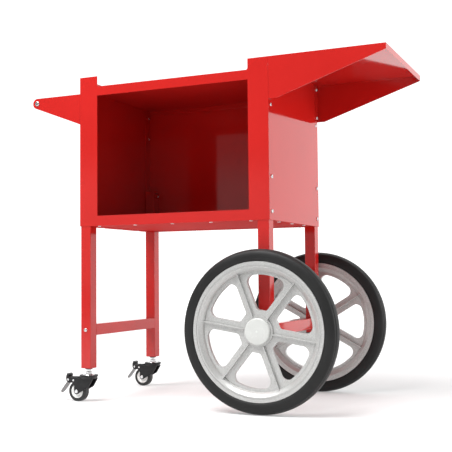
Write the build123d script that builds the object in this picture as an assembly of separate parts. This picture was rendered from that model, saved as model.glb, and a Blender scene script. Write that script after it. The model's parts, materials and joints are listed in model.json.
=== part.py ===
"""Popcorn cart: a folded-steel cabinet on square legs, with two spoked wheels and two braked casters.

X runs along the cart from the push handle to the side shelf, Y from the open front to the closed
back, Z up. The origin is on the ground under the middle of the whole cart. All sizes are in mm.
"""

from math import cos, radians, sin, sqrt
import os

from build123d import *

# ---- cabinet ----
CABINET_LENGTH = 510.0
CABINET_DEPTH = 360.0
CABINET_BOTTOM = 436.0
DECK_HEIGHT = 786.0
POST_HEIGHT = 812.0
POST_WIDTH = 51.0
OPENING_BOTTOM = 461.0
OPENING_TOP = 763.0
SHEET = 1.2
CORNER_FLANGE = 25.0
BOTTOM_FLANGE = 20.0
HEM = 8.0
EAR_FILLET = 5.0
LEG_GAP = 0.3

# ---- legs and braces ----
TUBE = 28.0
TUBE_WALL = 1.2
LEG_TOP = 550.0
RIGHT_LEG_DROP = 24.5
LEFT_BRACE_HEIGHT = 177.8
LEG_BOLT_HEIGHTS = (536.0, 456.0)
CAP_HEAD = 2.5
CAP_PLUG = 16.0

# ---- push handle ----
HANDLE_REACH = 130.0
HANDLE_TIP_RADIUS = 13.3
HANDLE_TIP_HEIGHT = 757.6
HANDLE_ROOT_BOTTOM = 694.0
HANDLE_ROOT_TOP = 771.0
HANDLE_FLANGE = 26.0
HANDLE_BOLT_HEIGHTS = (762.0, 703.0)
GRIP_RADIUS = 9.5
GRIP_WALL = 1.5
GRIP_PLUG = 22.0

# ---- side shelf ----
SHELF_REACH = 275.0
GUSSET_HEIGHT = 98.0
GUSSET_FLAT = 20.0
GUSSET_ROUND = 6.0
SHELF_LIP = 13.5
SHELF_FLANGE = 18.0
SHELF_BOLT_INSET = 9.0
SHELF_BOLT_DROPS = (12.0, 87.0)

# ---- fasteners ----
BOLT_RADIUS = 3.0
HEAD_RADIUS = 4.6
HEAD_HEIGHT = 2.8
NUT_RADIUS = 5.6
NUT_HEIGHT = 4.8
HOLE_CLEARANCE = 0.25
THREAD_PAST_NUT = 2.0
THREAD_GAP = 0.03
RIVET_RADIUS = 2.0
RIVET_HEAD = 4.2
RIVET_HEAD_HEIGHT = 1.4
PANEL_RIVET_HEIGHT = 703.0
FLOOR_RIVETS = 5

# ---- big wheels ----
WHEEL_RADIUS = 184.5
WHEEL_OFFSET = 29.0
TYRE_WIDTH = 39.0
LIP_RADIUS = 156.6
LIP_PLANE = 17.6
LIP_WIDTH = 4.0
SEAT_RADIUS = 150.0
SEAT_SLOPE = 1.0
RIM_FACE_RADIUS = 144.0
RIM_INNER_RADIUS = 134.0
RIM_GROOVE_INSET = 3.0
RIM_GROOVE_WIDTH = 1.4
RIM_GROOVE_DEPTH = 1.2
CONE_DEPTH = 10.0
SPOKES = 6
SPOKE_WIDTH = 27.0
SPOKE_HALF_THICKNESS = 5.0
SPOKE_START = 60.0
SPOKE_END = 106.0
WINDOW_OUTER = 127.0
WINDOW_INNER = 48.0
WINDOW_OUTER_FILLET = 16.0
WINDOW_INNER_FILLET = 9.5
RIB_WIDTH = 2.4
RIB_PLANE = 12.5
BOSS_RADIUS = 35.0
BOSS_PLANE = 9.0
CAP_RADIUS = 30.0
CAP_SKIN = 2.0
CAP_DOME = 1.6
CAP_PROUD = 0.8
CAP_ROUND = 3.0
HUB_STUB_RADIUS = 20.0
HUB_STUB_PLANE = 17.0
HUB_POCKET_RADIUS = 13.5
HUB_POCKET_PLANE = 2.0
BUSH_RADIUS = 9.0
FRONT_WHEEL_PHASE = -9.0
REAR_WHEEL_PHASE = 28.5

# ---- wheel axle ----
AXLE_RADIUS = 6.0
RUNNING_GAP = 0.05
END_PLAY = 0.3
FIT_GAP = 0.02
SPACER_RADIUS = 10.0
WASHER_RADIUS = 12.0
WASHER_THICKNESS = 1.5
AXLE_NUT_RADIUS = 10.9
AXLE_NUT_HEIGHT = 8.0
AXLE_END = 1.6

# ---- casters ----
CASTER_WHEEL_RADIUS = 25.0
CASTER_WHEEL_WIDTH = 18.0
CASTER_CORE_RADIUS = 17.0
CASTER_TRAIL = 29.0
CASTER_HEAD_RADIUS = 23.0
CASTER_HEAD_HEIGHT = 9.5
CASTER_HEAD_GAP = 7.0
CASTER_HEAD_ROOF = 2.5
CASTER_POCKET_RADIUS = 11.0
FORK_INNER = 10.0
FORK_SHEET = 2.5
FORK_BOSS_RADIUS = 7.0
STEM_RADIUS = 5.0
STEM_HEAD_RADIUS = 8.5
STEM_HEAD_HEIGHT = 3.0
STEM_NECK = 16.5
STEM_LENGTH_IN_LEG = 30.0
RACE_RADIUS = 15.0
RACE_HEIGHT = 3.0
STEM_NUT_RADIUS = 9.2
STEM_NUT_HEIGHT = 6.0
SOCKET_BOSS_RADIUS = 9.0
SOCKET_BOSS_HEIGHT = 3.0
SOCKET_PLUG = 26.0
CASTER_AXLE_RADIUS = 3.0
CASTER_AXLE_HEAD = 4.6
FORK_RIVET_RADIUS = 2.0
FORK_RIVET_HEAD = 2.6
PEDAL_PIVOT_GAP = 12.0
PEDAL_PIVOT_ANGLE = 50.0
FORK_RIVET_GAP = 3.6
FORK_RIVET_ANGLE = 72.5
PEDAL_TILT = 52.0
PEDAL_LENGTH = 43.0
PEDAL_WIDTH = 18.0
PEDAL_SHEET = 2.2

# ---- places worked out from the sizes above ----
LEFT = -(HANDLE_REACH + HANDLE_TIP_RADIUS + CABINET_LENGTH + SHELF_REACH) / 2
LEFT += HANDLE_REACH + HANDLE_TIP_RADIUS
RIGHT = LEFT + CABINET_LENGTH
FRONT = -CABINET_DEPTH / 2
REAR = CABINET_DEPTH / 2
BEND_RADIUS = SHEET - 0.2
LEG_X_INSET = 2 * SHEET
LEG_Y_INSET = SHEET
LEFT_LEG_X = LEFT + LEG_X_INSET + TUBE / 2
RIGHT_LEG_X = RIGHT - LEG_X_INSET - TUBE / 2
FRONT_LEG_Y = FRONT + LEG_Y_INSET + TUBE / 2
REAR_LEG_Y = REAR - LEG_Y_INSET - TUBE / 2
AXLE_HEIGHT = WHEEL_RADIUS
CASTER_HEAD_BOTTOM = 2 * CASTER_WHEEL_RADIUS + CASTER_HEAD_GAP
CASTER_HEAD_TOP = CASTER_HEAD_BOTTOM + CASTER_HEAD_HEIGHT
LEFT_LEG_BOTTOM = CASTER_HEAD_TOP + STEM_NECK
RIGHT_LEG_BOTTOM = AXLE_HEIGHT - RIGHT_LEG_DROP
NOTCH_X = LEG_X_INSET + TUBE + LEG_GAP
NOTCH_Y = LEG_Y_INSET + TUBE + LEG_GAP
GRIP_X = LEFT - HANDLE_REACH
BOLT_HOLE = BOLT_RADIUS + HOLE_CLEARANCE
AXLE_HOLE = AXLE_RADIUS + HOLE_CLEARANCE
LEGS = {
    "front_left_leg": (LEFT_LEG_X, FRONT_LEG_Y, LEFT_LEG_BOTTOM),
    "rear_left_leg": (LEFT_LEG_X, REAR_LEG_Y, LEFT_LEG_BOTTOM),
    "front_right_leg": (RIGHT_LEG_X, FRONT_LEG_Y, RIGHT_LEG_BOTTOM),
    "rear_right_leg": (RIGHT_LEG_X, REAR_LEG_Y, RIGHT_LEG_BOTTOM),
}


# ---- small helpers ----
def block(x0, x1, y0, y1, z0, z1):
    """A box from its six limits."""
    middle = Pos((x0 + x1) / 2, (y0 + y1) / 2, (z0 + z1) / 2)
    return middle * Box(abs(x1 - x0), abs(y1 - y0), abs(z1 - z0))


def upright(sketch, y0, y1):
    """A plate in the XZ plane, from y0 to y1."""
    return Pos(0, y1, 0) * Rot(90, 0, 0) * extrude(sketch, y1 - y0, dir=(0, 0, 1))


def outline(*points):
    """A straight-sided face from its corners, placed where they are."""
    return Polygon(*points, align=None)


def near(sketch, points):
    """The corners of a face that lie at the given points."""
    wanted = [Vector(x, y) for x, y in points]
    return [v for v in sketch.vertices() if any((Vector(v.X, v.Y) - w).length < 0.01 for w in wanted)]


def rounded_fold(shape, *places):
    """Rounds the upright outer edges of a sheet at the given X places of the cart's front."""
    folds = [e for e in shape.edges().filter_by(Axis.Z)
             if abs(e.center().Y - FRONT) < 0.01 and any(abs(e.center().X - x) < 0.01 for x in places)]
    return fillet(folds, BEND_RADIUS)


def rod(radius, start, end):
    """A round bar from one point to another."""
    a, b = Vector(*start), Vector(*end)
    bar = Cylinder(radius, (b - a).length, align=(Align.CENTER, Align.CENTER, Align.MIN))
    return Plane(origin=a, z_dir=(b - a).normalized()).location * bar


def placed(shape, point, direction):
    """A shape made along +Z, moved to a point and turned to face a direction."""
    return Plane(origin=point, z_dir=direction).location * shape


def turned(points):
    """A solid of revolution about Z from the corners of its radius-height outline."""
    return revolve(Plane.XZ * Polygon(*points, align=None), Axis.Z)


def group(solids):
    """Separate solids kept together as one node."""
    return Compound(children=list(solids))


def mirrored(shape):
    """The same piece at the back of the cart."""
    return mirror(shape, about=Plane.XZ)


def bolt(length, radius=BOLT_RADIUS, head=HEAD_RADIUS, height=HEAD_HEIGHT):
    """A button-head socket screw: its head stands above Z=0, its shank hangs below."""
    button = Pos(0, 0, height / 2) * Cylinder(head, height)
    button = fillet(button.edges().group_by(Axis.Z)[-1], height * 0.6)
    socket = extrude(RegularPolygon(radius * 0.75, 6), height * 0.5)
    button -= Pos(0, 0, height * 0.55) * socket
    return button + Pos(0, 0, -length / 2) * Cylinder(radius, length)


def nut(radius=NUT_RADIUS, height=NUT_HEIGHT, bore=BOLT_RADIUS + THREAD_GAP):
    """A hexagon nut standing on Z=0, with chamfered corners."""
    body = extrude(RegularPolygon(radius, 6), height)
    slope = radius * 0.18
    cone = turned(((0, 0), (radius, 0), (radius, height - slope), (radius - slope, height), (0, height)))
    return (body & cone) - Pos(0, 0, height / 2) * Cylinder(bore, 2 * height)


def rivet(grip, radius=RIVET_RADIUS, head=RIVET_HEAD, height=RIVET_HEAD_HEIGHT):
    """A rivet: its domed head stands above Z=0, its formed tail closes below the grip."""
    dome = Pos(0, 0, height / 2) * Cylinder(head, height)
    dome = fillet(dome.edges().group_by(Axis.Z)[-1], height * 0.7)
    tail = Pos(0, 0, -grip - height) * Cylinder(radius * 1.5, 2 * height)
    return dome + Pos(0, 0, -grip / 2) * Cylinder(radius, grip) + tail


# ---- where the fasteners go ----
def side_bolts(heights, wall, inner, side):
    """Bolts through a cabinet side at the leg lines: head point, outward direction, inner face."""
    face = LEFT - wall if side < 0 else RIGHT + wall
    end = LEFT + inner if side < 0 else RIGHT - inner
    for y in (FRONT_LEG_Y, REAR_LEG_Y):
        for z in heights:
            yield (face, y, z), (side, 0, 0), (end, y, z)


def shelf_bolt_places():
    """Bolts through the shelf's flanges, gripping the corner flange too where it reaches."""
    for y in (FRONT + SHELF_BOLT_INSET, REAR - SHELF_BOLT_INSET):
        for drop in SHELF_BOLT_DROPS:
            z = POST_HEIGHT - drop
            skin = SHEET if z > OPENING_TOP else LEG_X_INSET
            yield (RIGHT + SHEET, y, z), (1, 0, 0), (RIGHT - skin, y, z)


def brace_bolt_places():
    """Bolts through the caster legs into the end plates of their brace."""
    for y, sign in ((FRONT_LEG_Y, -1), (REAR_LEG_Y, 1)):
        head = (LEFT_LEG_X, y + sign * TUBE / 2, LEFT_BRACE_HEIGHT)
        inner = (LEFT_LEG_X, y - sign * (TUBE / 2 + TUBE_WALL), LEFT_BRACE_HEIGHT)
        yield head, (0, sign, 0), inner


LEG_BOLTS = list(side_bolts(LEG_BOLT_HEIGHTS, 0, LEG_X_INSET + TUBE, -1))
LEG_BOLTS += list(side_bolts(LEG_BOLT_HEIGHTS, 0, LEG_X_INSET + TUBE, 1))
HANDLE_BOLTS = list(side_bolts(HANDLE_BOLT_HEIGHTS, SHEET, LEG_X_INSET, -1))
PANEL_RIVETS = list(side_bolts((PANEL_RIVET_HEIGHT,), 0, LEG_X_INSET, 1))
BRACE_BOLTS = list(brace_bolt_places())
SHELF_BOLTS = list(shelf_bolt_places())
LONG_BOLT = LEG_X_INSET + TUBE + NUT_HEIGHT + THREAD_PAST_NUT
SHORT_BOLT = SHEET + LEG_X_INSET + NUT_HEIGHT + THREAD_PAST_NUT


def drilled(shape, places, radius=BOLT_HOLE):
    """Clearance holes along a list of bolt places."""
    for head, _, end in places:
        shape -= rod(radius, (head[0] + (5 if head[0] > end[0] else -5), *head[1:]),
                     (end[0] - (5 if head[0] > end[0] else -5), *end[1:]))
    return shape


def floor_rivet_places():
    """Rivet points under the floor, along the flanges of all four cabinet walls."""
    inset = SHEET + BOTTOM_FLANGE / 2
    span = CABINET_LENGTH - 2 * (NOTCH_X + BOTTOM_FLANGE)
    for i in range(FLOOR_RIVETS):
        x = LEFT + NOTCH_X + BOTTOM_FLANGE + span * i / (FLOOR_RIVETS - 1)
        yield x, FRONT + inset
        yield x, REAR - inset
    for y in (-CABINET_DEPTH / 4, 0, CABINET_DEPTH / 4):
        yield LEFT + inset, y
        yield RIGHT - inset, y


def floor_drilled(shape):
    """The floor rivet holes."""
    for x, y in floor_rivet_places():
        shape -= rod(RIVET_RADIUS + THREAD_GAP, (x, y, CABINET_BOTTOM - 5),
                     (x, y, CABINET_BOTTOM + 5))
    return shape


# ---- cabinet sheets ----
def end_wall(opening):
    """The front or back wall: a plate with raised corner posts, folded in at the sides and bottom."""
    corners = [(LEFT, CABINET_BOTTOM), (RIGHT, CABINET_BOTTOM), (RIGHT, POST_HEIGHT),
               (RIGHT - POST_WIDTH, POST_HEIGHT), (RIGHT - POST_WIDTH, DECK_HEIGHT),
               (LEFT + POST_WIDTH, DECK_HEIGHT), (LEFT + POST_WIDTH, POST_HEIGHT),
               (LEFT, POST_HEIGHT)]
    face = outline(*corners)
    face = fillet(near(face, (corners[4], corners[5])), EAR_FILLET)
    wall = rounded_fold(upright(face, FRONT, FRONT + SHEET), LEFT, RIGHT)
    back = FRONT + SHEET
    low, high = CABINET_BOTTOM, OPENING_TOP
    wall += block(LEFT + SHEET, LEFT + 2 * SHEET, back, back + CORNER_FLANGE, low, high)
    wall += block(RIGHT - 2 * SHEET, RIGHT - SHEET, back, back + CORNER_FLANGE, low, high)
    wall += block(LEFT + NOTCH_X, RIGHT - NOTCH_X, back, back + BOTTOM_FLANGE, low, low + SHEET)
    if opening:
        x0, x1 = LEFT + POST_WIDTH, RIGHT - POST_WIDTH
        hem = block(x0 - HEM, x1 + HEM, back, back + SHEET, OPENING_BOTTOM - HEM, OPENING_TOP + HEM)
        wall += hem
        wall -= block(x0, x1, FRONT - 1, back + 2 * SHEET, OPENING_BOTTOM, OPENING_TOP)
    return wall


def make_front_frame():
    wall = drilled(end_wall(True), LEG_BOLTS + HANDLE_BOLTS + SHELF_BOLTS)
    wall = drilled(wall, PANEL_RIVETS, RIVET_RADIUS + THREAD_GAP)
    return floor_drilled(wall)


def make_rear_panel():
    wall = drilled(mirrored(end_wall(False)), LEG_BOLTS + HANDLE_BOLTS + SHELF_BOLTS)
    wall = drilled(wall, PANEL_RIVETS, RIVET_RADIUS + THREAD_GAP)
    return floor_drilled(wall)


def make_side_panel(side):
    """A cabinet side between the end walls, folded in at the bottom between the legs."""
    outer = LEFT if side < 0 else RIGHT
    panel = block(outer, outer - side * SHEET, FRONT + SHEET, REAR - SHEET, CABINET_BOTTOM, POST_HEIGHT)
    inner = outer - side * SHEET
    panel += block(inner, inner - side * BOTTOM_FLANGE, FRONT + NOTCH_Y, REAR - NOTCH_Y,
                   CABINET_BOTTOM, CABINET_BOTTOM + SHEET)
    bolts = LEG_BOLTS + (HANDLE_BOLTS if side < 0 else SHELF_BOLTS)
    panel = drilled(panel, [b for b in bolts if b[1][0] == side])
    if side > 0:
        panel = drilled(panel, PANEL_RIVETS, RIVET_RADIUS + THREAD_GAP)
    return floor_drilled(panel)


def make_cabinet_floor():
    """The floor sheet lying on the wall flanges, its corners notched for the legs."""
    base = CABINET_BOTTOM + SHEET
    top = base + SHEET
    sheet = block(LEFT + SHEET, RIGHT - SHEET, FRONT + SHEET, REAR - SHEET, base, top)
    for x in (LEFT, RIGHT):
        for y in (FRONT, REAR):
            sheet -= block(x - NOTCH_X, x + NOTCH_X, y - NOTCH_Y, y + NOTCH_Y, base - 1, top + 1)
    return floor_drilled(sheet)


def make_top_deck():
    """The deck plate below the post tops, folded down along the front and back walls."""
    x0, x1 = LEFT + SHEET, RIGHT - SHEET
    y0, y1 = FRONT + SHEET, REAR - SHEET
    lip = OPENING_TOP + HEM + 1
    deck = block(x0, x1, y0, y1, lip, DECK_HEIGHT)
    return deck - block(x0 - 1, x1 + 1, y0 + SHEET, y1 - SHEET, lip - 1, DECK_HEIGHT - SHEET)


# ---- legs, braces and their plastic inserts ----
def tube_along_z(x, y, z0, z1):
    half, core = TUBE / 2, TUBE / 2 - TUBE_WALL
    tube = block(x - half, x + half, y - half, y + half, z0, z1)
    tube = fillet(tube.edges().filter_by(Axis.Z), TUBE_WALL)
    return tube - block(x - core, x + core, y - core, y + core, z0 - 1, z1 + 1)


def make_leg(x, y, bottom):
    leg = drilled(tube_along_z(x, y, bottom, LEG_TOP), LEG_BOLTS)
    if x < 0:
        hole, height = BOLT_HOLE, LEFT_BRACE_HEIGHT
    else:
        hole, height = AXLE_HOLE, AXLE_HEIGHT
    return leg - rod(hole, (x, y - TUBE, height), (x, y + TUBE, height))


def make_brace(x, height, hole):
    """A square tube between two legs, closed by end plates with one hole each."""
    half, core = TUBE / 2, TUBE / 2 - TUBE_WALL
    y0, y1 = FRONT_LEG_Y + TUBE / 2, REAR_LEG_Y - TUBE / 2
    brace = block(x - half, x + half, y0, y1, height - half, height + half)
    brace = fillet(brace.edges().filter_by(Axis.Y), TUBE_WALL)
    brace -= block(x - core, x + core, y0 + TUBE_WALL, y1 - TUBE_WALL, height - core, height + core)
    return brace - rod(hole, (x, y0 - 5, height), (x, y1 + 5, height))


def make_leg_caps():
    half, core = TUBE / 2, TUBE / 2 - TUBE_WALL - FIT_GAP
    caps = []
    for x, y, bottom in (LEGS["front_right_leg"], LEGS["rear_right_leg"]):
        cap = block(x - half, x + half, y - half, y + half, bottom - CAP_HEAD, bottom)
        cap = fillet(cap.edges().group_by(Axis.Z)[0], 1.0)
        cap += block(x - core, x + core, y - core, y + core, bottom, bottom + CAP_PLUG)
        hollow = core - TUBE_WALL
        cap -= block(x - hollow, x + hollow, y - hollow, y + hollow, bottom, bottom + CAP_PLUG + 1)
        caps.append(cap)
    return group(caps)


def make_caster_sockets():
    """Plastic plugs in the ends of the two caster legs, tapped for the caster stems."""
    core = TUBE / 2 - TUBE_WALL - FIT_GAP
    sockets = []
    for x, y, bottom in (LEGS["front_left_leg"], LEGS["rear_left_leg"]):
        socket = block(x - core, x + core, y - core, y + core, bottom, bottom + SOCKET_PLUG)
        socket += rod(SOCKET_BOSS_RADIUS, (x, y, bottom - SOCKET_BOSS_HEIGHT), (x, y, bottom + 1))
        socket -= rod(STEM_RADIUS + THREAD_GAP, (x, y, bottom - 9), (x, y, bottom + SOCKET_PLUG + 9))
        sockets.append(socket)
    return group(sockets)


# ---- push handle ----
def make_front_handle_arm():
    """A tapered plate with a rounded end, folded in against the cabinet side at its root."""
    tip = (GRIP_X, HANDLE_TIP_HEIGHT)
    corners = Polyline((LEFT, HANDLE_ROOT_BOTTOM), (LEFT, HANDLE_ROOT_TOP))
    end = CenterArc(tip, HANDLE_TIP_RADIUS, 0, 360)
    face = make_hull([*corners.edges(), *end.edges()])
    arm = upright(face, FRONT, FRONT + SHEET)
    arm += block(LEFT - SHEET, LEFT, FRONT, FRONT + SHEET + HANDLE_FLANGE,
                 HANDLE_ROOT_BOTTOM, HANDLE_ROOT_TOP)
    arm = rounded_fold(arm, LEFT)
    arm -= rod(BOLT_HOLE, (GRIP_X, FRONT - 5, HANDLE_TIP_HEIGHT), (GRIP_X, FRONT + 9, HANDLE_TIP_HEIGHT))
    return drilled(arm, HANDLE_BOLTS)


def make_handle_bar():
    """The round grip between the arms: a tube with a tapped plug closing each end."""
    y0, y1 = FRONT + SHEET, REAR - SHEET
    z = HANDLE_TIP_HEIGHT
    bar = rod(GRIP_RADIUS, (GRIP_X, y0, z), (GRIP_X, y1, z))
    bar -= rod(GRIP_RADIUS - GRIP_WALL, (GRIP_X, y0 + GRIP_PLUG, z), (GRIP_X, y1 - GRIP_PLUG, z))
    tapped = BOLT_RADIUS + THREAD_GAP
    bar -= rod(tapped, (GRIP_X, y0 - 1, z), (GRIP_X, y0 + GRIP_PLUG - 2, z))
    return bar - rod(tapped, (GRIP_X, y1 + 1, z), (GRIP_X, y1 - GRIP_PLUG + 2, z))


# ---- side shelf ----
def make_side_shelf():
    """One folded sheet: a flat top, a sloped gusset down each side and a short lip at the end."""
    end = RIGHT + SHELF_REACH
    low = POST_HEIGHT - GUSSET_HEIGHT
    flat_end = (RIGHT + GUSSET_FLAT, low)
    face = outline((RIGHT, POST_HEIGHT), (RIGHT, low), flat_end, (end, POST_HEIGHT - SHELF_LIP),
                   (end, POST_HEIGHT))
    face = fillet(near(face, (flat_end,)), GUSSET_ROUND)
    gusset = upright(face, FRONT, FRONT + SHEET)
    gusset += block(RIGHT, RIGHT + SHEET, FRONT, FRONT + SHELF_FLANGE, low, POST_HEIGHT)
    gusset = rounded_fold(gusset, RIGHT)
    shelf = gusset + mirrored(gusset)
    shelf += block(RIGHT, end, FRONT, REAR, POST_HEIGHT - SHEET, POST_HEIGHT)
    shelf += block(end - SHEET, end, FRONT, REAR, POST_HEIGHT - SHELF_LIP, POST_HEIGHT)
    return drilled(shelf, SHELF_BOLTS)


# ---- fasteners ----
def fitted_bolts(places, length):
    """One bolt of the given length at each place."""
    return [placed(bolt(length), head, direction) for head, direction, _ in places]


def fitted_nuts(places):
    """One nut on the inner face at each place."""
    return [placed(nut(), end, tuple(-c for c in direction)) for _, direction, end in places]


def make_grip_bolts():
    bolts = []
    for y, sign in ((FRONT, -1), (REAR, 1)):
        screw = bolt(SHEET + GRIP_PLUG - 4, head=HEAD_RADIUS + 1.4)
        bolts.append(placed(screw, (GRIP_X, y, HANDLE_TIP_HEIGHT), (0, sign, 0)))
    return group(bolts)


def make_panel_rivets():
    return group(placed(rivet(LEG_X_INSET), head, direction) for head, direction, _ in PANEL_RIVETS)


def make_floor_rivets():
    places = floor_rivet_places()
    return group(placed(rivet(2 * SHEET), (x, y, CABINET_BOTTOM), (0, 0, -1)) for x, y in places)


# ---- big wheels, made along +Z with the outer face up ----
def wheel_at(shape, side):
    """Moves a wheel piece onto the axle at the front (-1) or the back (1) of the cart."""
    y = side * (CABINET_DEPTH / 2 + WHEEL_OFFSET)
    return Pos(RIGHT_LEG_X, y, AXLE_HEIGHT) * Rot(-90 * side, 0, 0) * shape


def wheel_centre(phase):
    """The web from bore to rim, with rounded windows between six spokes and a rib along each."""
    window = Circle(WINDOW_OUTER) - Circle(WINDOW_INNER)
    turns = [Rot(0, 0, phase + i * 360 / SPOKES) for i in range(SPOKES)]
    for turn in turns:
        window -= turn * Pos((WINDOW_OUTER + WINDOW_INNER) / 2, 0) * Rectangle(WINDOW_OUTER, SPOKE_WIDTH)
    outer = [v for v in window.vertices() if Vector(v.X, v.Y).length > WINDOW_OUTER - 1]
    window = fillet(outer, WINDOW_OUTER_FILLET)
    inner = [v for v in window.vertices() if Vector(v.X, v.Y).length < WINDOW_INNER + 1]
    window = fillet(inner, WINDOW_INNER_FILLET)
    web = extrude(Circle(RIM_INNER_RADIUS + 2) - window, 2 * SPOKE_HALF_THICKNESS)
    web = Pos(0, 0, -SPOKE_HALF_THICKNESS) * web
    rib_end = RIM_INNER_RADIUS + RIB_PLANE - (LIP_PLANE - CONE_DEPTH) + 1
    for turn in turns:
        web += turn * block(HUB_STUB_RADIUS, rib_end, -RIB_WIDTH / 2, RIB_WIDTH / 2, -RIB_PLANE, RIB_PLANE)
    return web


def plain_disc(radius):
    """A cutter as thick as the whole wheel."""
    return Cylinder(radius, 4 * LIP_PLANE)


def wheel_rim(phase):
    """The rim: lips and a seat for the tyre outside, a cone down to the web and its corners inside."""
    cone = LIP_PLANE - CONE_DEPTH
    inside = RIM_FACE_RADIUS + RIM_GROOVE_INSET
    outside = inside + RIM_GROOVE_WIDTH
    bottom = LIP_PLANE - RIM_GROOVE_DEPTH
    half = [(RIM_INNER_RADIUS, cone), (RIM_FACE_RADIUS, LIP_PLANE),
            (inside, LIP_PLANE), (inside, bottom), (outside, bottom), (outside, LIP_PLANE),
            (LIP_RADIUS - 0.6, LIP_PLANE), (LIP_RADIUS, LIP_PLANE - 0.6),
            (LIP_RADIUS, LIP_PLANE - LIP_WIDTH), (SEAT_RADIUS, LIP_PLANE - LIP_WIDTH - SEAT_SLOPE)]
    ring = turned(half + [(r, -z) for r, z in reversed(half)])
    return ring + (wheel_centre(phase) - plain_disc(SPOKE_END))


def wheel_spokes(phase):
    """The six ribbed spokes of the moulding, between its hub and its rim."""
    spokes = wheel_centre(phase) & (plain_disc(SPOKE_END) - plain_disc(SPOKE_START))
    return group(spokes.solids())


def wheel_hub(phase):
    """The middle of the moulding: the spoke roots, the capped boss outside and a stub inside."""
    hub = wheel_centre(phase) & plain_disc(SPOKE_START)
    hub += Cylinder(BOSS_RADIUS, 2 * BOSS_PLANE)
    hub -= Pos(0, 0, BOSS_PLANE + LIP_PLANE / 2) * Cylinder(BOSS_RADIUS, LIP_PLANE)
    stub = HUB_STUB_PLANE + BOSS_PLANE
    hub += Pos(0, 0, -HUB_STUB_PLANE + stub / 2) * Cylinder(HUB_STUB_RADIUS, stub)
    hub -= Cylinder(BUSH_RADIUS + FIT_GAP, 4 * HUB_STUB_PLANE)
    pocket = BOSS_PLANE - HUB_POCKET_PLANE + 1
    return hub - Pos(0, 0, HUB_POCKET_PLANE + pocket / 2) * Cylinder(HUB_POCKET_RADIUS, pocket)


def crown_radius():
    """Radius of the tread's crown arc, and how far its centre is from the wheel's axis."""
    rise, half = 5.0, TYRE_WIDTH / 2 - 3
    radius = (half * half + rise * rise) / (2 * rise)
    return radius, WHEEL_RADIUS - radius


def wheel_tyre():
    """A solid rubber ring seated between the rim's lips, with a mould line at each shoulder."""
    half = TYRE_WIDTH / 2
    shoulder_z = half - 3
    crown, centre = crown_radius()
    shoulder_r = WHEEL_RADIUS - 5.0
    base_z = LIP_PLANE - LIP_WIDTH - SEAT_SLOPE - FIT_GAP
    wall_r = LIP_RADIUS + 0.4
    lip_z = LIP_PLANE - LIP_WIDTH - FIT_GAP
    side_z = LIP_PLANE - 0.8
    bulge_r = (wall_r + shoulder_r) / 2
    lines = [Line((SEAT_RADIUS + FIT_GAP, -base_z), (SEAT_RADIUS + FIT_GAP, base_z)),
             Line((SEAT_RADIUS + FIT_GAP, base_z), (wall_r, lip_z)),
             Line((wall_r, lip_z), (wall_r, side_z)),
             ThreePointArc((wall_r, side_z), (bulge_r, half), (shoulder_r, shoulder_z)),
             ThreePointArc((shoulder_r, shoulder_z), (WHEEL_RADIUS, 0), (shoulder_r, -shoulder_z)),
             ThreePointArc((shoulder_r, -shoulder_z), (bulge_r, -half), (wall_r, -side_z)),
             Line((wall_r, -side_z), (wall_r, -lip_z)),
             Line((wall_r, -lip_z), (SEAT_RADIUS + FIT_GAP, -base_z))]
    section = make_face([edge for line in lines for edge in line.edges()])
    line_z = shoulder_z - 4
    line_r = centre + sqrt(crown * crown - line_z * line_z)
    for z in (line_z, -line_z):
        section -= Pos(line_r, z) * Circle(0.6)
    return revolve(Plane.XZ * section, Axis.Z)


def dome_height(radius, ball):
    """How far a ball of a given radius falls from its top at a distance from its axis."""
    return ball - sqrt(ball * ball - radius * radius)


def wheel_cap():
    """A shallow domed cap over the axle nut, seated on the hub boss."""
    flat = CAP_RADIUS - CAP_ROUND
    ball = (flat * flat + CAP_DOME * CAP_DOME) / (2 * CAP_DOME)
    top = LIP_PLANE + CAP_PROUD
    edge = top - CAP_DOME
    inner = CAP_RADIUS - CAP_SKIN
    roof = inner - CAP_ROUND
    roof_edge = top - CAP_SKIN - dome_height(roof, ball)
    corner = CAP_ROUND * (1 - cos(radians(45)))
    sides = [ThreePointArc((0, top), (flat / 2, top - dome_height(flat / 2, ball)), (flat, edge)),
             ThreePointArc((flat, edge), (CAP_RADIUS - corner, edge - corner),
                           (CAP_RADIUS, edge - CAP_ROUND)),
             Polyline((CAP_RADIUS, edge - CAP_ROUND), (CAP_RADIUS, BOSS_PLANE), (inner, BOSS_PLANE),
                      (inner, roof_edge - CAP_ROUND), (roof, roof_edge)),
             ThreePointArc((roof, roof_edge), (roof / 2, top - CAP_SKIN - dome_height(roof / 2, ball)),
                           (0, top - CAP_SKIN)),
             Line((0, top - CAP_SKIN), (0, top))]
    section = make_face([piece for side in sides for piece in side.edges()])
    return revolve(Plane.XZ * section, Axis.Z)


def wheel_bush():
    length = HUB_STUB_PLANE + HUB_POCKET_PLANE
    bush = Pos(0, 0, -HUB_STUB_PLANE + length / 2) * Cylinder(BUSH_RADIUS, length)
    return bush - Cylinder(AXLE_RADIUS + RUNNING_GAP, 4 * HUB_STUB_PLANE)


def axle_washer():
    start = HUB_POCKET_PLANE + END_PLAY
    ring = Cylinder(WASHER_RADIUS, WASHER_THICKNESS) - Cylinder(AXLE_RADIUS + THREAD_GAP, 9)
    return Pos(0, 0, start + WASHER_THICKNESS / 2) * ring


def axle_nut():
    start = HUB_POCKET_PLANE + END_PLAY + WASHER_THICKNESS
    return Pos(0, 0, start) * nut(AXLE_NUT_RADIUS, AXLE_NUT_HEIGHT, AXLE_RADIUS + THREAD_GAP)


def axle_spacer():
    """The tube on the axle between the leg and the inner end of the hub."""
    end = -HUB_STUB_PLANE - END_PLAY
    length = WHEEL_OFFSET + LEG_Y_INSET + end
    ring = Cylinder(SPACER_RADIUS, length) - Cylinder(AXLE_RADIUS + THREAD_GAP, 3 * length)
    return Pos(0, 0, end - length / 2) * ring


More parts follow.
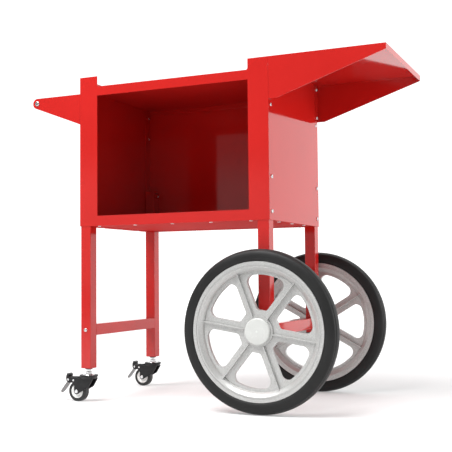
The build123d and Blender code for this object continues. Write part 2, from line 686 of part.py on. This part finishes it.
def make_wheel_axle():
    """The steel rod through both right legs, their brace and both wheels."""
    past = HUB_POCKET_PLANE + END_PLAY + WASHER_THICKNESS + AXLE_NUT_HEIGHT + AXLE_END
    y = CABINET_DEPTH / 2 + WHEEL_OFFSET + past
    axle = rod(AXLE_RADIUS, (RIGHT_LEG_X, -y, AXLE_HEIGHT), (RIGHT_LEG_X, y, AXLE_HEIGHT))
    return chamfer(axle.edges().filter_by(GeomType.CIRCLE), 0.8)


# ---- casters, made with the swivel axis on Z and the wheel trailing towards -X ----
CASTERS = {"front_caster": FRONT_LEG_Y, "rear_caster": REAR_LEG_Y}
CASTER_AXLE = (-CASTER_TRAIL, CASTER_WHEEL_RADIUS)


def beyond_tread(gap, angle):
    """A point outside the caster wheel's tread, up and forward of its axle."""
    reach = CASTER_WHEEL_RADIUS + gap
    turn = radians(angle)
    return CASTER_AXLE[0] - reach * cos(turn), CASTER_AXLE[1] + reach * sin(turn)


PEDAL_PIVOT = beyond_tread(PEDAL_PIVOT_GAP, PEDAL_PIVOT_ANGLE)
FORK_RIVET = beyond_tread(FORK_RIVET_GAP, FORK_RIVET_ANGLE)


def caster_at(shape, name):
    return Pos(LEFT_LEG_X, CASTERS[name], 0) * shape


def rod_across(radius, point, half):
    """A round bar across the caster at an XZ point, centred on its swivel axis."""
    return rod(radius, (point[0], -half, point[1]), (point[0], half, point[1]))


def hull_plate(circles, y0, y1):
    """A plate whose outline wraps a few circles, each given as x, z, radius."""
    edges = [CenterArc((x, z), r, 0, 360).edge() for x, z, r in circles]
    return upright(make_hull(edges), y0, y1)


def caster_fork():
    """The pressed fork: a round head with a raceway pocket, and two legs to the axle and brake."""
    x, z = CASTER_AXLE
    head = CASTER_HEAD_RADIUS
    low, top = CASTER_HEAD_BOTTOM, CASTER_HEAD_TOP
    leg = hull_plate(((x, z, FORK_BOSS_RADIUS), (head - 8, low, 3), (4, low - 18, 3), (x, low - 5, 6)),
                     FORK_INNER, FORK_INNER + FORK_SHEET)
    leg += hull_plate(((*PEDAL_PIVOT, 6.0), (x, low - 6, 7), (x, low - 1, 4)),
                      FORK_INNER, FORK_INNER + FORK_SHEET)
    fork = leg + mirrored(leg)
    fork += turned(((0, low), (head - 4, low), (head - 1.5, low + 4.5), (head, low + 5.5),
                    (head, top - 0.6), (head - 0.6, top), (head - 4, top), (head - 5, top - 1),
                    (0, top - 1)))
    fork -= rod(CASTER_POCKET_RADIUS, (0, 0, low - 9), (0, 0, top - CASTER_HEAD_ROOF))
    fork -= rod(STEM_RADIUS + RUNNING_GAP, (0, 0, low - 9), (0, 0, top + 9))
    fork -= rod_across(CASTER_AXLE_RADIUS + THREAD_GAP, CASTER_AXLE, 30)
    fork -= rod_across(FORK_RIVET_RADIUS + THREAD_GAP, PEDAL_PIVOT, 30)
    return fork - rod_across(FORK_RIVET_RADIUS + THREAD_GAP, FORK_RIVET, 30)


def headed_pin(radius, head, point, head_height=1.4):
    """A rivet across both fork legs, with a head outside each."""
    outer = FORK_INNER + FORK_SHEET
    pin = rod_across(radius, point, outer)
    for sign in (-1, 1):
        near_end = (point[0], sign * outer, point[1])
        cap = rod(head, near_end, (point[0], sign * (outer + head_height), point[1]))
        far = cap.edges().group_by(Axis.Y)[0 if sign < 0 else -1]
        pin += fillet(far, head_height * 0.6)
    return pin


def caster_wheel_core():
    half = CASTER_WHEEL_WIDTH / 2
    x, z = CASTER_AXLE
    core = turned(((CASTER_AXLE_RADIUS + RUNNING_GAP, -half - 0.6), (8, -half - 0.6), (8, -half + 1),
                   (11, -half + 3), (14, -half + 1), (CASTER_CORE_RADIUS, -half + 0.4),
                   (CASTER_CORE_RADIUS, half - 0.4), (14, half - 1), (11, half - 3), (8, half - 1),
                   (8, half + 0.6), (CASTER_AXLE_RADIUS + RUNNING_GAP, half + 0.6)))
    return Pos(x, 0, z) * Rot(90, 0, 0) * core


def caster_tyre():
    half = CASTER_WHEEL_WIDTH / 2
    x, z = CASTER_AXLE
    ring = Cylinder(CASTER_WHEEL_RADIUS, 2 * half)
    ring = fillet(ring.edges().filter_by(GeomType.CIRCLE), 3.0)
    ring -= Cylinder(CASTER_CORE_RADIUS + FIT_GAP, 3 * half)
    return Pos(x, 0, z) * Rot(90, 0, 0) * ring


def pedal_frame(along, up):
    """A point in the pedal's own tilted frame, measured from its pivot down the tongue."""
    tilt = radians(PEDAL_TILT)
    x = PEDAL_PIVOT[0] - along * cos(tilt) - up * sin(tilt)
    z = PEDAL_PIVOT[1] - along * sin(tilt) + up * cos(tilt)
    return x, z


def caster_pedal():
    """The brake pedal's black clevis: a hooked block on the pivot that carries the steel tongue."""
    half = FORK_INNER - END_PLAY
    points = [pedal_frame(*p) for p in ((7, -5), (7, 4.5), (0, 11), (-9, 13.5), (-10, 8), (-5, 6),
                                        (-4.5, -4.5))]
    body = upright(outline(*points), -half, half)
    return body - rod_across(FORK_RIVET_RADIUS + RUNNING_GAP, PEDAL_PIVOT, 30)


def caster_pedal_tongue():
    """The pressed steel tongue: a leaf with a round end that the foot pushes."""
    leaf = Rectangle(PEDAL_LENGTH - 7 - PEDAL_WIDTH / 2, PEDAL_WIDTH, align=(Align.MIN, Align.CENTER))
    leaf += Pos(PEDAL_LENGTH - 7 - PEDAL_WIDTH / 2, 0) * Circle(PEDAL_WIDTH / 2)
    tongue = extrude(leaf, PEDAL_SHEET)
    x, z = pedal_frame(7, -1)
    return Pos(x, 0, z) * Rot(0, -PEDAL_TILT, 0) * Rot(0, 0, 180) * tongue


def stem_parts(name):
    """Stem, thrust race and lock nut of one caster; they stay with the leg."""
    head_top = CASTER_HEAD_TOP - CASTER_HEAD_ROOF - END_PLAY
    stem = rod(STEM_RADIUS, (0, 0, head_top - 1), (0, 0, LEFT_LEG_BOTTOM + STEM_LENGTH_IN_LEG))
    stem += rod(STEM_HEAD_RADIUS, (0, 0, head_top - STEM_HEAD_HEIGHT), (0, 0, head_top))
    low = CASTER_HEAD_TOP + END_PLAY - 1
    race = turned(((STEM_RADIUS + THREAD_GAP, low), (RACE_RADIUS, low), (RACE_RADIUS, low + 1),
                   (RACE_RADIUS - 4, low + RACE_HEIGHT), (STEM_RADIUS + THREAD_GAP, low + RACE_HEIGHT)))
    lock = Pos(0, 0, low + RACE_HEIGHT) * nut(STEM_NUT_RADIUS, STEM_NUT_HEIGHT, STEM_RADIUS + THREAD_GAP)
    return [caster_at(piece, name) for piece in (stem, race, lock)]


# ---- every node ----
def all_nodes():
    nodes = {
        "front_frame": make_front_frame(),
        "rear_panel": make_rear_panel(),
        "left_side_panel": make_side_panel(-1),
        "right_side_panel": make_side_panel(1),
        "cabinet_floor": make_cabinet_floor(),
        "top_deck": make_top_deck(),
        "left_brace": make_brace(LEFT_LEG_X, LEFT_BRACE_HEIGHT, BOLT_HOLE),
        "right_brace": make_brace(RIGHT_LEG_X, AXLE_HEIGHT, AXLE_HOLE),
        "leg_end_caps": make_leg_caps(),
        "caster_sockets": make_caster_sockets(),
        "front_handle_arm": make_front_handle_arm(),
        "rear_handle_arm": mirrored(make_front_handle_arm()),
        "handle_bar": make_handle_bar(),
        "side_shelf": make_side_shelf(),
        "wheel_axle": make_wheel_axle(),
        "long_bolts": group(fitted_bolts(LEG_BOLTS + BRACE_BOLTS, LONG_BOLT)),
        "short_bolts": group(fitted_bolts(HANDLE_BOLTS + SHELF_BOLTS, SHORT_BOLT)),
        "nuts": group(fitted_nuts(LEG_BOLTS + BRACE_BOLTS + HANDLE_BOLTS + SHELF_BOLTS)),
        "grip_bolts": make_grip_bolts(),
        "panel_rivets": make_panel_rivets(),
        "floor_rivets": make_floor_rivets(),
        "axle_spacers": group(wheel_at(axle_spacer(), side) for side in (-1, 1)),
        "axle_washers": group(wheel_at(axle_washer(), side) for side in (-1, 1)),
        "axle_nuts": group(wheel_at(axle_nut(), side) for side in (-1, 1)),
    }
    for name, (x, y, bottom) in LEGS.items():
        nodes[name] = make_leg(x, y, bottom)
    for name, side, phase in (("front_wheel", -1, FRONT_WHEEL_PHASE), ("rear_wheel", 1, REAR_WHEEL_PHASE)):
        nodes[f"{name}_rim"] = wheel_at(wheel_rim(phase), side)
        nodes[f"{name}_spokes"] = wheel_at(wheel_spokes(phase), side)
        nodes[f"{name}_hub"] = wheel_at(wheel_hub(phase), side)
        nodes[f"{name}_tyre"] = wheel_at(wheel_tyre(), side)
        nodes[f"{name}_cap"] = wheel_at(wheel_cap(), side)
        nodes[f"{name}_bush"] = wheel_at(wheel_bush(), side)
    stems = [stem_parts(name) for name in CASTERS]
    for node, pieces in zip(("caster_stems", "caster_races", "caster_lock_nuts"), zip(*stems)):
        nodes[node] = group(pieces)
    for name in CASTERS:
        nodes[f"{name}_fork"] = caster_at(caster_fork(), name)
        nodes[f"{name}_core"] = caster_at(caster_wheel_core(), name)
        nodes[f"{name}_tyre"] = caster_at(caster_tyre(), name)
        nodes[f"{name}_axle"] = caster_at(
            headed_pin(CASTER_AXLE_RADIUS, CASTER_AXLE_HEAD, CASTER_AXLE), name)
        nodes[f"{name}_pedal_pin"] = caster_at(
            headed_pin(FORK_RIVET_RADIUS, FORK_RIVET_HEAD, PEDAL_PIVOT), name)
        nodes[f"{name}_fork_rivet"] = caster_at(
            headed_pin(FORK_RIVET_RADIUS, FORK_RIVET_HEAD, FORK_RIVET), name)
        nodes[f"{name}_pedal"] = caster_at(caster_pedal(), name)
        nodes[f"{name}_tongue"] = caster_at(caster_pedal_tongue(), name)
    return nodes


os.makedirs("parts", exist_ok=True)
for node_name, node_shape in all_nodes().items():
    export_step(node_shape, f"parts/{node_name}.step")
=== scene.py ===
"""The popcorn cart's looks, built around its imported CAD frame: paint, plastic, rubber and studio."""

import json
import math

import bpy
from mathutils import Matrix, Vector

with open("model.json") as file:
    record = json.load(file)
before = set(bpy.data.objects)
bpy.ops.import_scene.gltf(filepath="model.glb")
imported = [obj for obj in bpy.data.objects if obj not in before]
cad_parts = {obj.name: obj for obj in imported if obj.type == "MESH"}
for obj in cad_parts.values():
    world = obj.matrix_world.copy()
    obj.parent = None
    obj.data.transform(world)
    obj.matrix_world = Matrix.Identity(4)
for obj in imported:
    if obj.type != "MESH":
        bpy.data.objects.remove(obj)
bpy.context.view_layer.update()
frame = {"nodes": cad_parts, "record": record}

NODES = frame["nodes"]

# ---- camera, in metres and degrees ----
CAMERA_PLACE = (0.9108, -2.0428, 0.3109)
CAMERA_YAW = 24.03
CAMERA_PITCH = 3.19
CAMERA_ROLL = -0.54
LENS_MM = 70.07
SENSOR_MM = 36.0

# ---- studio ----
FLOOR_SIZE = 40.0
FLOOR_GREY = 0.58
FLOOR_GLOW_NEAR = 0.27
FLOOR_GLOW_BEHIND = 0.85
NEAR_GLOW_RISE = (-1.6, -0.7)
BEHIND_GLOW_RISE = (1.0, 4.0)
BACK_LIGHT = 1.3
FRONT_LOW_LIGHT = 0.6
FRONT_HIGH_LIGHT = 0.26
BORDER_TOP = (0.10, 0.14)
FRONT_TO_BACK = (-0.3, 0.5)
KEY_PLACE = (-0.8, -1.6, 3.2)
KEY_TARGET = (0, 0, 0.5)
KEY_SIZE = (2.4, 2.4)
KEY_POWER = 202.0
SIDE_PLACE = (3.0, 0.3, 0.9)
SIDE_TARGET = (0.2, 0, 0.6)
SIDE_SIZE = (2.0, 1.4)
SIDE_POWER = 38.0
VIEW_DEPTH = 100.0

# ---- surface detail, in metres and degrees ----
PAINT_EDGE = 0.0006
WELD_DISTANCE = 1e-6
FLAT_ANGLE = 0.5
SHARP_ANGLE = 35
PAINTED = ("red_paint", "cabinet_paint")
CABINET = ("front_frame", "rear_panel", "left_side_panel", "right_side_panel", "cabinet_floor", "top_deck")

# ---- how the cabinet's paint dulls on faces turned to the floor ----
DOWNWARD_NORMAL = (-0.95, -0.7)
GLOSS_SPECULAR = 0.5
DULL_SPECULAR = 0.08
DULL_ROUGHNESS = 0.7


# ---- node helpers ----
def map_range(tree, value, span, low, high):
    node = tree.nodes.new("ShaderNodeMapRange")
    node.inputs["From Min"].default_value, node.inputs["From Max"].default_value = span
    node.inputs["To Min"].default_value = low
    node.inputs["To Max"].default_value = high
    tree.links.new(value, node.inputs["Value"])
    return node


class Shader:
    """A material's node tree, with short calls for what each material here needs."""

    def __init__(self, name):
        self.material = bpy.data.materials.new(name)
        self.material.use_nodes = True
        self.tree = self.material.node_tree
        self.nodes = self.tree.nodes
        self.links = self.tree.links
        self.surface = self.nodes["Principled BSDF"]
        coordinates = self.nodes.new("ShaderNodeTexCoord")
        self.place = coordinates.outputs["Object"]

    def set(self, **values):
        for name, value in values.items():
            self.surface.inputs[name.replace("_", " ")].default_value = value
        return self

    def link(self, output, name):
        self.links.new(output, self.surface.inputs[name])

    def noise(self, scale, detail=3.0, rough=0.5, stretch=None):
        texture = self.nodes.new("ShaderNodeTexNoise")
        texture.inputs["Scale"].default_value = scale
        texture.inputs["Detail"].default_value = detail
        texture.inputs["Roughness"].default_value = rough
        source = self.place
        if stretch:
            mapping = self.nodes.new("ShaderNodeMapping")
            mapping.inputs["Scale"].default_value = stretch
            self.links.new(self.place, mapping.inputs["Vector"])
            source = mapping.outputs["Vector"]
        self.links.new(source, texture.inputs["Vector"])
        return texture.outputs["Fac"]

    def spread(self, value, low, high, start=0.3, end=0.7):
        """Maps a noise value from its usual span to low..high."""
        return map_range(self.tree, value, (start, end), low, high).outputs["Result"]

    def blend(self, factor, first, second):
        mix = self.nodes.new("ShaderNodeMix")
        mix.data_type = "RGBA"
        mix.inputs["A"].default_value = (*first, 1.0)
        mix.inputs["B"].default_value = (*second, 1.0)
        self.links.new(factor, mix.inputs["Factor"])
        return mix.outputs["Result"]

    def bump(self, height, strength, distance, under=None):
        node = self.nodes.new("ShaderNodeBump")
        node.inputs["Strength"].default_value = strength
        node.inputs["Distance"].default_value = distance
        self.links.new(height, node.inputs["Height"])
        if under is not None:
            self.links.new(under, node.inputs["Normal"])
        self.links.new(node.outputs["Normal"], self.surface.inputs["Normal"])
        return node.outputs["Normal"]


# ---- materials ----
def red_paint(name, dull_below):
    """Gloss powder coat: deep red, faint orange peel, and if asked dull on faces turned to the floor."""
    s = Shader(name)
    tone = s.spread(s.noise(5.0, 2.0), 0.0, 1.0)
    s.link(s.blend(tone, (0.455, 0.0105, 0.0080), (0.495, 0.0125, 0.0100)), "Base Color")
    rough = s.spread(s.noise(60.0), 0.05, 0.09)
    if dull_below:
        geometry = s.nodes.new("ShaderNodeNewGeometry")
        split = s.nodes.new("ShaderNodeSeparateXYZ")
        s.links.new(geometry.outputs["Normal"], split.inputs["Vector"])
        downward = s.spread(split.outputs["Z"], 1.0, 0.0, *DOWNWARD_NORMAL)
        s.link(s.spread(downward, GLOSS_SPECULAR, DULL_SPECULAR, 0.0, 1.0), "Specular IOR Level")
        dull = s.nodes.new("ShaderNodeMath")
        dull.operation = "MULTIPLY_ADD"
        dull.inputs[1].default_value = DULL_ROUGHNESS
        s.links.new(downward, dull.inputs[0])
        s.links.new(rough, dull.inputs[2])
        rough = dull.outputs["Value"]
    s.link(rough, "Roughness")
    s.bump(s.noise(260.0, 1.5), 0.02, 0.0004)
    return s.material


def silver_plastic():
    """Moulded wheel centre: silver lacquer with fine flake over grey plastic."""
    s = Shader("silver_wheel_plastic")
    s.set(Metallic=0.5, Coat_Weight=0.15, Coat_Roughness=0.2)
    flake = s.spread(s.noise(1100.0, 2.0), 0.0, 1.0, 0.42, 0.6)
    s.link(s.blend(flake, (0.43, 0.43, 0.42), (0.62, 0.62, 0.61)), "Base Color")
    s.link(s.spread(s.noise(45.0), 0.34, 0.44), "Roughness")
    s.bump(s.noise(700.0, 3.0), 0.16, 0.0003)
    return s.material


def pale_plastic():
    """Hub cap: glossy pale grey moulding."""
    s = Shader("pale_cap_plastic")
    s.set(Coat_Weight=0.4, Coat_Roughness=0.08)
    s.link(s.blend(s.spread(s.noise(25.0), 0.0, 1.0), (0.54, 0.55, 0.53), (0.60, 0.61, 0.59)), "Base Color")
    s.link(s.spread(s.noise(70.0), 0.2, 0.29), "Roughness")
    s.bump(s.noise(420.0, 2.0), 0.03, 0.0002)
    return s.material


def tyre_rubber():
    """Solid tyre: smooth dark rubber with a fine moulded grain and a little bloom."""
    s = Shader("tyre_rubber")
    s.set(Specular_IOR_Level=0.22)
    bloom = s.spread(s.noise(14.0, 4.0), 0.0, 1.0)
    s.link(s.blend(bloom, (0.012, 0.012, 0.012), (0.019, 0.019, 0.019)), "Base Color")
    s.link(s.spread(s.noise(30.0, 4.0), 0.42, 0.58), "Roughness")
    grain = s.bump(s.noise(1500.0, 2.0), 0.12, 0.0002)
    s.bump(s.noise(90.0, 2.0), 0.05, 0.0006, grain)
    return s.material


def caster_rubber():
    """Caster tread: harder black rubber, slightly scuffed."""
    s = Shader("caster_rubber")
    s.link(s.blend(s.spread(s.noise(120.0, 4.0), 0.0, 1.0), (0.010, 0.010, 0.010), (0.020, 0.020, 0.020)),
           "Base Color")
    s.link(s.spread(s.noise(160.0, 3.0), 0.38, 0.55), "Roughness")
    s.bump(s.noise(1600.0, 2.0), 0.12, 0.0002)
    return s.material


def black_steel():
    """Caster forks and clevises: black dip coat on pressed steel."""
    s = Shader("black_coated_steel")
    s.set(Specular_IOR_Level=0.35)
    s.link(s.blend(s.spread(s.noise(110.0, 3.0), 0.0, 1.0), (0.006, 0.006, 0.007), (0.013, 0.013, 0.014)),
           "Base Color")
    s.link(s.spread(s.noise(240.0, 3.0), 0.28, 0.42), "Roughness")
    s.bump(s.noise(700.0, 3.0), 0.08, 0.0003)
    return s.material


def zinc():
    """Bright zinc plate on bolts, rivets, caster stems, the axle and its nuts."""
    s = Shader("zinc_plate")
    s.set(Metallic=1.0)
    s.link(s.blend(s.spread(s.noise(320.0, 3.0), 0.0, 1.0), (0.62, 0.63, 0.65), (0.80, 0.80, 0.79)),
           "Base Color")
    s.link(s.spread(s.noise(500.0, 3.0), 0.18, 0.34), "Roughness")
    s.bump(s.noise(1200.0, 2.0), 0.05, 0.0002)
    return s.material


def pedal_steel():
    """Brake tongues: grey plated steel with a lengthwise brushed grain."""
    s = Shader("brushed_pedal_steel")
    s.set(Metallic=1.0)
    brushed = s.noise(220.0, 3.0, 0.6, stretch=(1.0, 12.0, 1.0))
    s.link(s.blend(s.spread(brushed, 0.0, 1.0), (0.14, 0.14, 0.14), (0.26, 0.26, 0.26)), "Base Color")
    s.link(s.spread(brushed, 0.26, 0.44), "Roughness")
    s.bump(brushed, 0.15, 0.0002)
    return s.material


def white_plastic():
    """Caster wheel centres: white moulded nylon."""
    s = Shader("white_nylon")
    s.link(s.blend(s.spread(s.noise(90.0), 0.0, 1.0), (0.78, 0.78, 0.76), (0.86, 0.86, 0.85)), "Base Color")
    s.link(s.spread(s.noise(180.0), 0.32, 0.45), "Roughness")
    s.bump(s.noise(800.0, 2.0), 0.05, 0.0002)
    return s.material


def black_plastic():
    """Leg plugs and bushes: fine-textured black nylon."""
    s = Shader("black_nylon")
    s.link(s.blend(s.spread(s.noise(140.0), 0.0, 1.0), (0.018, 0.018, 0.019), (0.030, 0.030, 0.031)),
           "Base Color")
    s.link(s.spread(s.noise(260.0), 0.36, 0.5), "Roughness")
    s.bump(s.noise(1400.0, 2.0), 0.1, 0.0002)
    return s.material


MATERIALS = {
    "red_paint": red_paint("red_powder_coat", False),
    "cabinet_paint": red_paint("cabinet_powder_coat", True),
    "silver_plastic": silver_plastic(),
    "pale_plastic": pale_plastic(),
    "tyre_rubber": tyre_rubber(),
    "caster_rubber": caster_rubber(),
    "black_steel": black_steel(),
    "zinc": zinc(),
    "pedal_steel": pedal_steel(),
    "white_plastic": white_plastic(),
    "black_plastic": black_plastic(),
}


# ---- CAD nodes ----
def dress(node, slot, edge):
    """Gives a CAD node its material, and rounds its sharp edges by a fraction of a millimetre."""
    piece = NODES[node]
    piece.data.materials.clear()
    piece.data.materials.append(MATERIALS[slot])
    weld = piece.modifiers.new("weld", "WELD")
    weld.merge_threshold = WELD_DISTANCE
    if edge:
        flats = piece.modifiers.new("flats", "DECIMATE")
        flats.decimate_type = "DISSOLVE"
        flats.angle_limit = math.radians(FLAT_ANGLE)
        rounding = piece.modifiers.new("edges", "BEVEL")
        rounding.width = edge
        rounding.segments = 2
        rounding.limit_method = "ANGLE"
        rounding.angle_limit = math.radians(SHARP_ANGLE)
        rounding.harden_normals = True
        rounding.use_clamp_overlap = True


for part in frame["record"]["subparts"]:
    slot = "cabinet_paint" if part["node"] in CABINET else part["material_slot"]
    dress(part["node"], slot, PAINT_EDGE if slot in PAINTED else 0.0)


# ---- studio ----
def make_floor():
    """A pale floor that glows a little around the object and more far behind it."""
    half = FLOOR_SIZE / 2
    mesh = bpy.data.meshes.new("studio_floor")
    corners = [(-half, -half, 0), (half, -half, 0), (half, half, 0), (-half, half, 0)]
    mesh.from_pydata(corners, [], [(0, 1, 2, 3)])
    floor = bpy.data.objects.new("studio_floor", mesh)
    bpy.context.scene.collection.objects.link(floor)
    s = Shader("studio_white")
    s.set(Base_Color=(FLOOR_GREY, FLOOR_GREY, FLOOR_GREY, 1.0), Emission_Color=(1.0, 1.0, 1.0, 1.0))
    s.set(Roughness=0.9, Specular_IOR_Level=0.1)
    split = s.nodes.new("ShaderNodeSeparateXYZ")
    s.links.new(s.place, split.inputs["Vector"])
    depth = split.outputs["Y"]
    near = s.spread(depth, 0.0, FLOOR_GLOW_NEAR, *NEAR_GLOW_RISE)
    behind = s.spread(depth, 0.0, FLOOR_GLOW_BEHIND - FLOOR_GLOW_NEAR, *BEHIND_GLOW_RISE)
    total = s.nodes.new("ShaderNodeMath")
    s.links.new(near, total.inputs[0])
    s.links.new(behind, total.inputs[1])
    s.link(total.outputs["Value"], "Emission Strength")
    mesh.materials.append(s.material)


def make_world():
    """A white cyclorama: bright behind the object, dimmer in front above a low white border."""
    world = bpy.data.worlds.new("studio_world")
    bpy.context.scene.world = world
    world.use_nodes = True
    tree = world.node_tree
    nodes, links = tree.nodes, tree.links
    direction = nodes.new("ShaderNodeTexCoord")
    split = nodes.new("ShaderNodeSeparateXYZ")
    links.new(direction.outputs["Generated"], split.inputs["Vector"])
    front = map_range(tree, split.outputs["Z"], BORDER_TOP, FRONT_LOW_LIGHT, FRONT_HIGH_LIGHT)
    level = map_range(tree, split.outputs["Y"], FRONT_TO_BACK, FRONT_LOW_LIGHT, BACK_LIGHT)
    level.interpolation_type = "SMOOTHSTEP"
    links.new(front.outputs["Result"], level.inputs["To Min"])
    links.new(level.outputs["Result"], nodes["Background"].inputs["Strength"])
    nodes["Background"].inputs["Color"].default_value = (1.0, 1.0, 1.0, 1.0)


def softbox(name, place, target, size, power):
    """A rectangular light that faces its target."""
    light = bpy.data.lights.new(name, "AREA")
    light.shape = "RECTANGLE"
    light.size, light.size_y = size
    light.energy = power
    lamp = bpy.data.objects.new(name, light)
    bpy.context.scene.collection.objects.link(lamp)
    lamp.location = place
    lamp.rotation_euler = (Vector(target) - Vector(place)).to_track_quat("-Z", "Y").to_euler()


def make_camera():
    """Sets the camera in front of the cart and to its right, tilted slightly up."""
    data = bpy.data.cameras.new("camera")
    data.lens = LENS_MM
    data.sensor_width = SENSOR_MM
    data.clip_end = VIEW_DEPTH
    camera = bpy.data.objects.new("camera", data)
    bpy.context.scene.collection.objects.link(camera)
    turn = Matrix.Rotation(math.radians(CAMERA_YAW), 4, "Z")
    turn @= Matrix.Rotation(math.radians(90 + CAMERA_PITCH), 4, "X")
    turn @= Matrix.Rotation(math.radians(CAMERA_ROLL), 4, "Z")
    camera.matrix_world = Matrix.Translation(CAMERA_PLACE) @ turn
    bpy.context.scene.camera = camera


make_floor()
make_world()
softbox("key", KEY_PLACE, KEY_TARGET, KEY_SIZE, KEY_POWER)
softbox("side", SIDE_PLACE, SIDE_TARGET, SIDE_SIZE, SIDE_POWER)
make_camera()
bpy.context.scene.view_settings.view_transform = "Standard"
